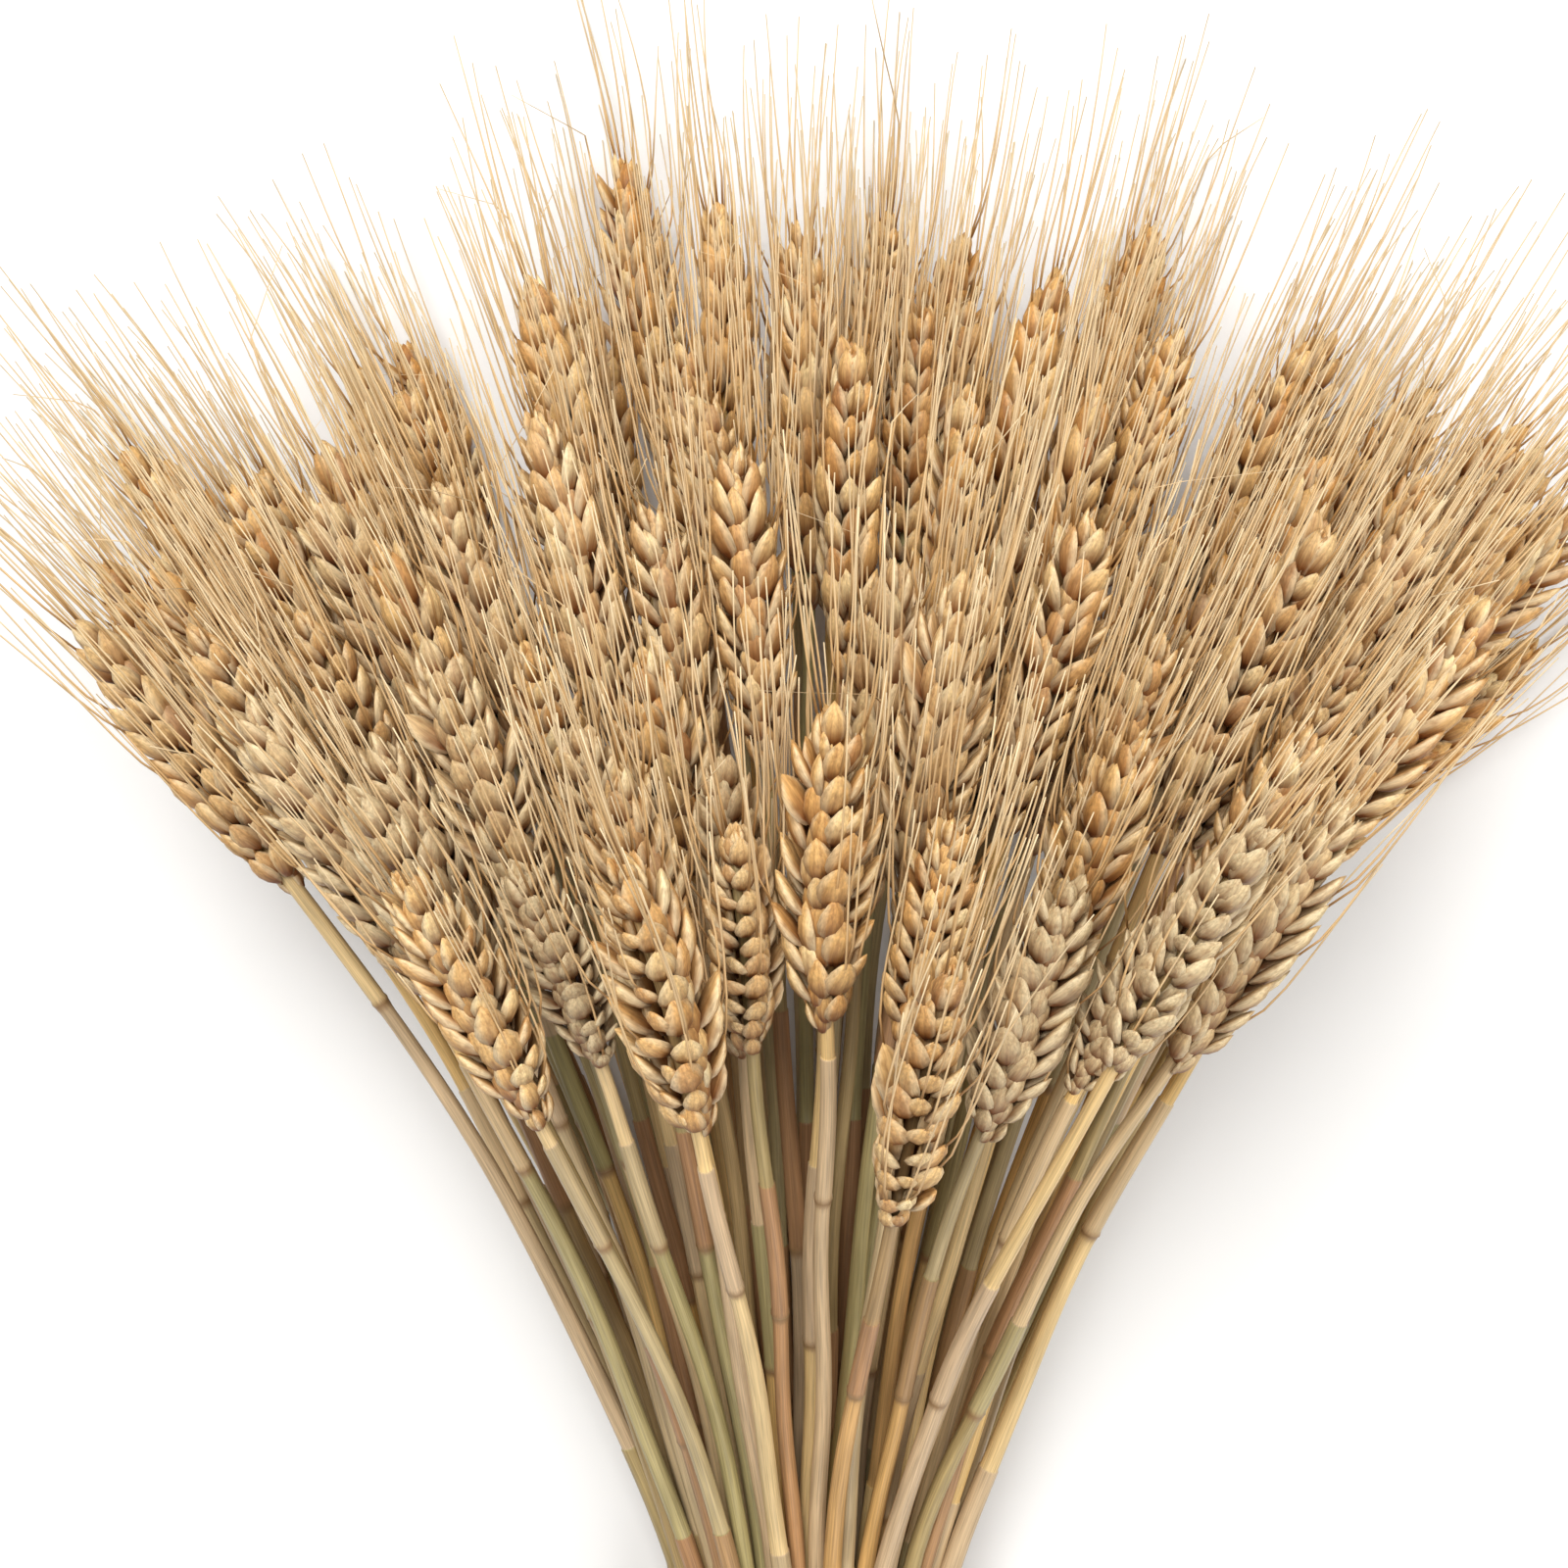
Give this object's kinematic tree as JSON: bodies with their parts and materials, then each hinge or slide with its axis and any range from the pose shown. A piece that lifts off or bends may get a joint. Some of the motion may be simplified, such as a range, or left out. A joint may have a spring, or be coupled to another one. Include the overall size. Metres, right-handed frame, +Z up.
{
  "type": "bundle of dried wheat",
  "caption": "Bundle of dried bearded wheat stalks, fanned out above a twine tie and lying on its side, for display or as a prop.",
  "frame": {"origin": "on the table, under the middle of the bundle's box", "axes": "+Z up from the table, +Y from the cut ends towards the ears, +X across the fan"},
  "size_m": [0.369, 0.428, 0.1793],
  "materials": {
    "dried_wheat": "dry, matt to faintly silky straw and husk",
    "jute_twine": "rough twisted natural fibre"
  },
  "bodies": {
    "root": {"stalk_tier01_1": "dried_wheat", "stalk_tier01_2": "dried_wheat", "stalk_tier01_3": "dried_wheat", "stalk_tier01_4": "dried_wheat", "stalk_tier02_1": "dried_wheat", "stalk_tier02_2": "dried_wheat", "stalk_tier02_3": "dried_wheat", "stalk_tier02_4": "dried_wheat", "stalk_tier02_5": "dried_wheat", "stalk_tier03_1": "dried_wheat", "stalk_tier03_2": "dried_wheat", "stalk_tier03_3": "dried_wheat", "stalk_tier03_4": "dried_wheat", "stalk_tier03_5": "dried_wheat", "stalk_tier03_6": "dried_wheat", "stalk_tier04_1": "dried_wheat", "stalk_tier04_2": "dried_wheat", "stalk_tier04_3": "dried_wheat", "stalk_tier04_4": "dried_wheat", "stalk_tier04_5": "dried_wheat", "stalk_tier04_6": "dried_wheat", "stalk_tier04_7": "dried_wheat", "stalk_tier05_1": "dried_wheat", "stalk_tier05_2": "dried_wheat", "stalk_tier05_3": "dried_wheat", "stalk_tier05_4": "dried_wheat", "stalk_tier05_5": "dried_wheat", "stalk_tier05_6": "dried_wheat", "stalk_tier05_7": "dried_wheat", "stalk_tier06_1": "dried_wheat", "stalk_tier06_2": "dried_wheat", "stalk_tier06_3": "dried_wheat", "stalk_tier06_4": "dried_wheat", "stalk_tier06_5": "dried_wheat", "stalk_tier06_6": "dried_wheat", "stalk_tier06_7": "dried_wheat", "stalk_tier07_1": "dried_wheat", "stalk_tier07_2": "dried_wheat", "stalk_tier07_3": "dried_wheat", "stalk_tier07_4": "dried_wheat", "stalk_tier07_5": "dried_wheat", "stalk_tier07_6": "dried_wheat", "stalk_tier07_7": "dried_wheat", "stalk_tier08_1": "dried_wheat", "stalk_tier08_2": "dried_wheat", "stalk_tier08_3": "dried_wheat", "stalk_tier08_4": "dried_wheat", "stalk_tier08_5": "dried_wheat", "stalk_tier08_6": "dried_wheat", "stalk_tier09_1": "dried_wheat", "stalk_tier09_2": "dried_wheat", "stalk_tier09_3": "dried_wheat", "stalk_tier09_4": "dried_wheat", "stalk_tier09_5": "dried_wheat", "stalk_tier10_1": "dried_wheat", "stalk_tier10_2": "dried_wheat", "stalk_tier10_3": "dried_wheat", "stalk_tier10_4": "dried_wheat", "tie_winding": "jute_twine", "tie_knot": "jute_twine"}
  },
  "joints": []
}
